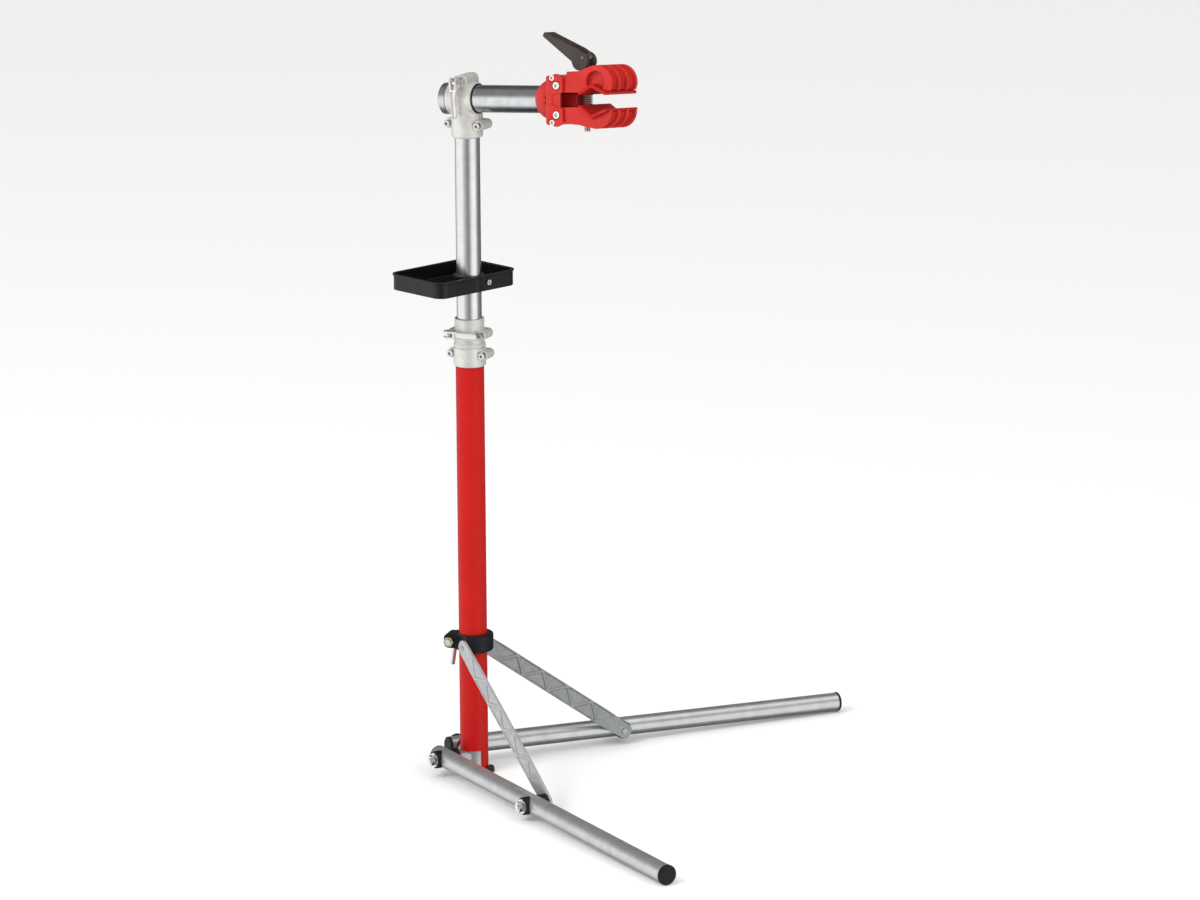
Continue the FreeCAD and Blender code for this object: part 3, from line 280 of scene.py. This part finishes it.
def finish(name, colour, dark, rough, metal=0.0, mottle=40.0, grain=900.0, bump=0.15, along=None,
           edge_wear_and_highlight=None, specular=0.5):
    """Procedural surface.

    colour and dark: the two tones that a soft mottle mixes; mottle and grain: their scales per
    metre; along: direction of drawn or brushed lines; edge_wear_and_highlight: the lighter tone
    that convex corners take, part wear and part painted highlight.
    """
    material = bpy.data.materials.new(name)
    nodes, links, add = node_tree(material)
    place = add("ShaderNodeTexCoord").outputs["Object"]
    patches = add("ShaderNodeTexNoise", Vector=place, Scale=mottle, Detail=5.0, Roughness=0.6)
    tone = ramp(add, patches.outputs[0], [(0.32, dark), (0.68, colour)])
    fine = add("ShaderNodeTexNoise", Vector=place, Scale=grain, Detail=3.0, Roughness=0.6)
    relief = fine.outputs[0]
    if along is not None:
        lined = add("ShaderNodeMapping", Vector=place, Rotation=turned_to(along))
        stretched = add("ShaderNodeMapping", Vector=lined.outputs[0],
                        Scale=(1.0, 1.0, LINE_STRETCH))
        lines = add("ShaderNodeTexNoise", Vector=stretched.outputs[0], Scale=LINE_SCALE,
                    Detail=4.0, Roughness=0.7)
        grained = math_node(add, "MULTIPLY", fine.outputs[0], 0.15)
        relief = math_node(add, "MULTIPLY_ADD", lines.outputs[0], 0.85, grained)
        streak = ramp(add, lines.outputs[0], [(0.25, 0.86), (0.75, 1.0)])
        tone = mix_colours(add, 1.0, tone, streak, "MULTIPLY")
    # Convex corners are lightened towards the edge tone, broken up by noise: part wear, part
    # painted highlight.
    if edge_wear_and_highlight is not None:
        corner = add("ShaderNodeNewGeometry").outputs["Pointiness"]
        wear_and_highlight_mask = ramp(add, corner, [(0.515, 0.0), (0.56, 1.0)])
        broken = ramp(add, fine.outputs[0], [(0.35, 0.25), (0.65, 0.8)])
        tone = mix_colours(add, math_node(add, "MULTIPLY", wear_and_highlight_mask, broken), tone, (*edge_wear_and_highlight, 1))
    roughness = add("ShaderNodeMapRange", Value=relief, To_Min=rough - ROUGH_SPREAD,
                    To_Max=rough + ROUGH_SPREAD)
    raised = add("ShaderNodeBump", Strength=bump, Distance=BUMP_HEIGHT, Height=relief)
    shader = add("ShaderNodeBsdfPrincipled", Base_Color=tone, Metallic=metal,
                 Roughness=roughness.outputs[0], Normal=raised.outputs[0],
                 Specular_IOR_Level=specular)
    links.new(shader.outputs[0], nodes.new("ShaderNodeOutputMaterial").inputs[0])
    return material


# Each edge tone, lighter than its colour, lightens convex corners: part wear, part painted
# highlight.
FINISHES = {
    "red_paint": dict(colour=(0.47, 0.008, 0.005), dark=(0.41, 0.005, 0.004), rough=0.36,
                      mottle=9.0, grain=420.0, bump=0.06, specular=0.16),
    "cast_alloy": dict(colour=(0.74, 0.73, 0.69), dark=(0.62, 0.61, 0.575), rough=0.46, metal=0.55,
                       mottle=90.0, grain=1500.0, bump=0.3, edge_wear_and_highlight=(0.86, 0.85, 0.82)),
    "hub_casting": dict(colour=(0.50, 0.51, 0.51), dark=(0.36, 0.37, 0.38), rough=0.42, metal=0.8,
                        mottle=120.0, grain=1300.0, bump=0.35, edge_wear_and_highlight=(0.72, 0.73, 0.73)),
    "rubber": dict(colour=(0.022, 0.022, 0.023), dark=(0.012, 0.012, 0.013), rough=0.7,
                   mottle=60.0, grain=1100.0, bump=0.5, specular=0.3),
    "zinc": dict(colour=(0.80, 0.80, 0.79), dark=(0.62, 0.63, 0.63), rough=0.27, metal=1.0,
                 mottle=220.0, grain=1600.0, bump=0.12, edge_wear_and_highlight=(0.9, 0.9, 0.9)),
    "lever_metal": dict(colour=(0.80, 0.79, 0.755), dark=(0.70, 0.69, 0.66), rough=0.34, metal=0.7,
                        mottle=120.0, grain=1500.0, bump=0.2, edge_wear_and_highlight=(0.93, 0.93, 0.92)),
    "brass": dict(colour=(0.52, 0.42, 0.24), dark=(0.38, 0.31, 0.18), rough=0.3, metal=1.0,
                  mottle=200.0, grain=1400.0, bump=0.15, edge_wear_and_highlight=(0.75, 0.66, 0.42)),
    "screw_metal": dict(colour=(0.80, 0.77, 0.70), dark=(0.62, 0.60, 0.54), rough=0.32, metal=0.75,
                        mottle=240.0, grain=1600.0, bump=0.12, edge_wear_and_highlight=(0.92, 0.90, 0.84)),
    "pin_steel": dict(colour=(0.16, 0.155, 0.15), dark=(0.09, 0.088, 0.085), rough=0.35, metal=1.0,
                      mottle=240.0, grain=1600.0, bump=0.15, edge_wear_and_highlight=(0.3, 0.29, 0.28)),
    "spring_steel": dict(colour=(0.66, 0.54, 0.45), dark=(0.46, 0.37, 0.30), rough=0.3, metal=1.0,
                         mottle=260.0, grain=1600.0, bump=0.12, edge_wear_and_highlight=(0.75, 0.66, 0.58)),
    "strut_pin_steel": dict(colour=(0.36, 0.37, 0.37), dark=(0.25, 0.26, 0.26), rough=0.36,
                            metal=1.0, mottle=240.0, grain=1500.0, bump=0.15,
                            edge_wear_and_highlight=(0.5, 0.5, 0.5)),
    # One strut alloy in two copies: the far strut_left's copy is darker, which is painted shade,
    # and the near strut_right's is the lit copy. Its edge tone is lighter too.
    "strut_alloy_far_painted_shade": dict(colour=(0.30, 0.31, 0.315), dark=(0.235, 0.245, 0.25), rough=0.40,
                             metal=0.6, mottle=120.0, grain=1300.0, bump=0.35,
                             edge_wear_and_highlight=(0.42, 0.43, 0.43)),
    "strut_alloy_near_lit_copy": dict(colour=(0.50, 0.51, 0.515), dark=(0.40, 0.41, 0.415), rough=0.38,
                              metal=0.6, mottle=120.0, grain=1300.0, bump=0.35,
                              edge_wear_and_highlight=(0.70, 0.71, 0.71)),
    "cap_metal": dict(colour=(0.55, 0.56, 0.56), dark=(0.42, 0.43, 0.44), rough=0.33, metal=1.0,
                      mottle=140.0, grain=1300.0, bump=0.2, edge_wear_and_highlight=(0.75, 0.75, 0.75)),
    "black_plastic": dict(colour=(0.010, 0.011, 0.012), dark=(0.006, 0.007, 0.008), rough=0.42,
                          mottle=50.0, grain=1500.0, bump=0.25, edge_wear_and_highlight=(0.035, 0.037, 0.04),
                          specular=0.2),
    "tray_plastic": dict(colour=(0.005, 0.006, 0.007), dark=(0.003, 0.0035, 0.004), rough=0.32,
                         mottle=25.0, grain=1300.0, bump=0.18, edge_wear_and_highlight=(0.03, 0.032, 0.035),
                         specular=0.32),
    "lever_plastic": dict(colour=(0.045, 0.034, 0.027), dark=(0.028, 0.021, 0.017), rough=0.4,
                          mottle=60.0, grain=1300.0, bump=0.25, edge_wear_and_highlight=(0.10, 0.08, 0.065)),
    "red_plastic": dict(colour=(0.52, 0.024, 0.017), dark=(0.45, 0.015, 0.012), rough=0.38,
                        mottle=45.0, grain=1500.0, bump=0.2, edge_wear_and_highlight=(0.66, 0.055, 0.04),
                        specular=0.3),
    "red_pad": dict(colour=(0.46, 0.012, 0.012), dark=(0.38, 0.008, 0.008), rough=0.5, mottle=70.0,
                    grain=1200.0, bump=0.35, edge_wear_and_highlight=(0.55, 0.03, 0.025), specular=0.2),
    "mast_metal": dict(colour=(0.80, 0.81, 0.82), dark=(0.72, 0.73, 0.74), rough=0.24, metal=1.0,
                       mottle=70.0, bump=0.10, along=UP),
    "boom_metal": dict(colour=(0.70, 0.72, 0.73), dark=(0.60, 0.62, 0.63), rough=0.24, metal=1.0,
                       mottle=80.0, bump=0.12, along=BOOM_DIRECTION),
}
for side, direction in LEG_DIRECTION.items():
    FINISHES[f"leg_metal_{side}"] = dict(colour=(0.64, 0.65, 0.655), dark=(0.54, 0.55, 0.555),
                                         rough=0.31, metal=0.78, mottle=60.0, bump=0.16,
                                         along=direction)


# ---------------------------------------------------------------- pieces
WELD = 2e-6             # vertices of a solid's mesh that lie closer than this are one
CAST_KEEP = 0.3         # share of a casting's faces that is kept

# Spring and draw rod, in metres; heights are along the rod.
SPRING_LOW, SPRING_MIDDLE, SPRING_HIGH = -0.0187, 0.00675, 0.0322
SPRING_RADIUS, SPRING_PITCH, SPRING_WIRE = 0.0071, 0.0031, 0.0008
ROD_RADIUS, ROD_PITCH = 0.004, 0.00125
THREAD_LOW, THREAD_HIGH = -0.0430, 0.0330
THREAD_DEPTH = 0.3      # of the pitch
THREAD_SINK = 0.0001    # how far the thread's root lies inside the shank
THREAD_ROWS = 8         # rings of vertices to a turn
THREAD_FADE = 4         # rings over which it rises at each end


def dress(thing, material):
    thing.data.materials.clear()
    thing.data.materials.append(material)


def soften(mesh):
    for face in mesh.polygons:
        face.use_smooth = True


def new_piece(name, bm, material, body):
    """Object made of a bmesh, riding on a body unless that is None."""
    mesh = bpy.data.meshes.new(name)
    bm.to_mesh(mesh)
    bm.free()
    soften(mesh)
    piece = bpy.data.objects.new(name, mesh)
    bpy.context.scene.collection.objects.link(piece)
    dress(piece, MATERIALS[material])
    if body is not None:
        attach(piece, body)
    return piece


def bake_modifiers(piece):
    """Replace the piece's mesh by what its modifiers make of it."""
    bpy.context.view_layer.update()
    evaluated = piece.evaluated_get(bpy.context.evaluated_depsgraph_get())
    mesh = bpy.data.meshes.new_from_object(evaluated)
    old = piece.data
    piece.modifiers.clear()
    piece.data = mesh
    bpy.data.meshes.remove(old)
    soften(mesh)


def cast(node, material, voxel, passes):
    """Moulded or cast piece: the node's own solid, with every edge and inner corner rounded."""
    bm = bmesh.new()
    bm.from_mesh(NODES[node].data)
    bmesh.ops.remove_doubles(bm, verts=bm.verts, dist=WELD)
    piece = new_piece(f"{node}_cast", bm, material, None)
    remesh = piece.modifiers.new("remesh", "REMESH")
    remesh.mode = "VOXEL"
    remesh.voxel_size = voxel
    smooth = piece.modifiers.new("smooth", "SMOOTH")
    smooth.factor = 0.5
    smooth.iterations = passes
    thin = piece.modifiers.new("thin", "DECIMATE")
    thin.ratio = CAST_KEEP
    bake_modifiers(piece)
    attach(piece, BODY_OF[node])
    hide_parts(node)


def round_point(radius, share, z):
    """Point on a circle about Z, at a share of a whole turn."""
    angle = 2 * math.pi * share
    return Vector((radius * math.cos(angle), radius * math.sin(angle), z))


def skin(bm, rings):
    """Faces from each ring of vertices to the next, and across both ends."""
    count = len(rings[0])
    for low, high in zip(rings, rings[1:]):
        for k in range(count):
            after = (k + 1) % count
            bm.faces.new((low[k], low[after], high[after], high[k]))
    bm.faces.new(list(reversed(rings[0])))
    bm.faces.new(rings[-1])


def wire(bm, centres, radius, segments=10):
    """Round wire of the given radius through points that lie close together."""
    rings = []
    for i, centre in enumerate(centres):
        before, after = centres[max(i - 1, 0)], centres[min(i + 1, len(centres) - 1)]
        ahead = (after - before).normalized()
        side = ahead.cross(UP).normalized()
        over = side.cross(ahead)
        ring = []
        for k in range(segments):
            across, along, _ = round_point(radius, k / segments, 0)
            ring.append(bm.verts.new(centre + side * across + over * along))
        rings.append(ring)
    skin(bm, rings)


def helix(radius, pitch, low, high, steps=28):
    """Points of a coil from low to high, with so many steps to a turn."""
    count = int((high - low) / pitch * steps)
    return [round_point(radius, i / steps, low + (high - low) * i / count)
            for i in range(count + 1)]


def make_spring():
    """Coil spring round the draw rod, made in two halves that are not attached to the jaws."""
    for name, jaw, start, end in (("spring_lower", "lower_jaw", SPRING_MIDDLE, SPRING_LOW),
                                  ("spring_upper", "upper_jaw", SPRING_MIDDLE, SPRING_HIGH)):
        bm = bmesh.new()
        coil = helix(SPRING_RADIUS, SPRING_PITCH, min(start, end), max(start, end))
        wire(bm, coil, SPRING_WIRE)
        bmesh.ops.transform(bm, matrix=ROD, verts=bm.verts)
        spring = new_piece(name, bm, "spring_steel", None)
        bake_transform(spring)
        if jaw == "lower_jaw":
            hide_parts("jaw_spring")


def make_rod_thread(segments=20):
    """Screw thread that stands on the draw rod's plain shank."""
    bm = bmesh.new()
    rows = int((THREAD_HIGH - THREAD_LOW) / ROD_PITCH * THREAD_ROWS)
    depth = ROD_PITCH * THREAD_DEPTH
    rings = []
    for i in range(rows + 1):
        z = THREAD_LOW + (THREAD_HIGH - THREAD_LOW) * i / rows
        fade = min(1.0, i / THREAD_FADE, (rows - i) / THREAD_FADE)
        ring = []
        for k in range(segments):
            ridge = abs(((z / ROD_PITCH - k / segments) % 1.0) * 2 - 1)
            radius = ROD_RADIUS - THREAD_SINK + depth * ridge * fade
            ring.append(bm.verts.new(round_point(radius, k / segments, z)))
        rings.append(ring)
    skin(bm, rings)
    bmesh.ops.transform(bm, matrix=ROD, verts=bm.verts)
    new_piece("draw_rod_thread", bm, "spring_steel", "draw_rod")


# (node, material, voxel size in metres, smoothing passes)
CASTINGS = [
    ("head_front", "cast_alloy", 0.0006, 8), ("head_back", "cast_alloy", 0.0006, 8),
    ("height_clamp_front", "cast_alloy", 0.0006, 8),
    ("height_clamp_back", "cast_alloy", 0.0006, 8),
    ("height_lever", "lever_metal", 0.0004, 5), ("head_lever", "lever_metal", 0.0004, 5),
    ("housing_right", "red_plastic", 0.0006, 7), ("housing_left", "red_plastic", 0.0006, 7),
    ("upper_jaw", "red_plastic", 0.0006, 7), ("lower_jaw", "red_plastic", 0.0006, 7),
    ("upper_pad", "red_pad", 0.0006, 4), ("lower_pad", "red_pad", 0.0006, 4),
    ("cam_lever", "lever_plastic", 0.0005, 6), ("collar", "black_plastic", 0.0006, 7),
    ("base_hub", "hub_casting", 0.0006, 7), ("foot_plug", "rubber", 0.0006, 5),
    # The far strut takes the darker copy of the strut alloy: painted shade.
    ("strut_left", "strut_alloy_far_painted_shade", 0.0005, 3), ("strut_right", "strut_alloy_near_lit_copy", 0.0005, 3),
    ("leg_saddles_left", "black_plastic", 0.0005, 4),
    ("leg_saddles_right", "black_plastic", 0.0005, 4),
    ("tray", "tray_plastic", 0.0007, 3),
]

# Nodes that stay as they are, by material; every other one is zinc.
PLAIN = {
    "main_tube": "red_paint", "mast_tube": "mast_metal", "boom_tube": "boom_metal",
    "boom_cap": "cap_metal",
    "leg_tube_left": "leg_metal_left", "leg_tube_right": "leg_metal_right",
    "collar_nut": "brass", "jaw_pivots": "screw_metal", "housing_screws": "screw_metal",
    "cam_pin": "pin_steel", "draw_rod": "spring_steel", "draw_nut": "spring_steel",
    "strut_pin_left": "strut_pin_steel", "strut_pin_right": "strut_pin_steel",
    "strut_bolt_left": "strut_pin_steel", "head_liner": "black_plastic",
    "mast_guide": "black_plastic", "tray_bushing": "black_plastic",
    "leg_caps_left": "black_plastic", "leg_caps_right": "black_plastic",
}


def make_pieces():
    for node, material, voxel, passes in CASTINGS:
        cast(node, material, voxel, passes)
    make_spring()
    make_rod_thread()
    for name, node in NODES.items():
        if not node.hide_render:
            dress(node, MATERIALS[PLAIN.get(name, "zinc")])


make_camera()
set_tones()
make_world()
make_floor()
for light_settings in LIGHTS:
    make_light(*light_settings)
MATERIALS = {name: finish(name, **look) for name, look in FINISHES.items()}
make_pieces()
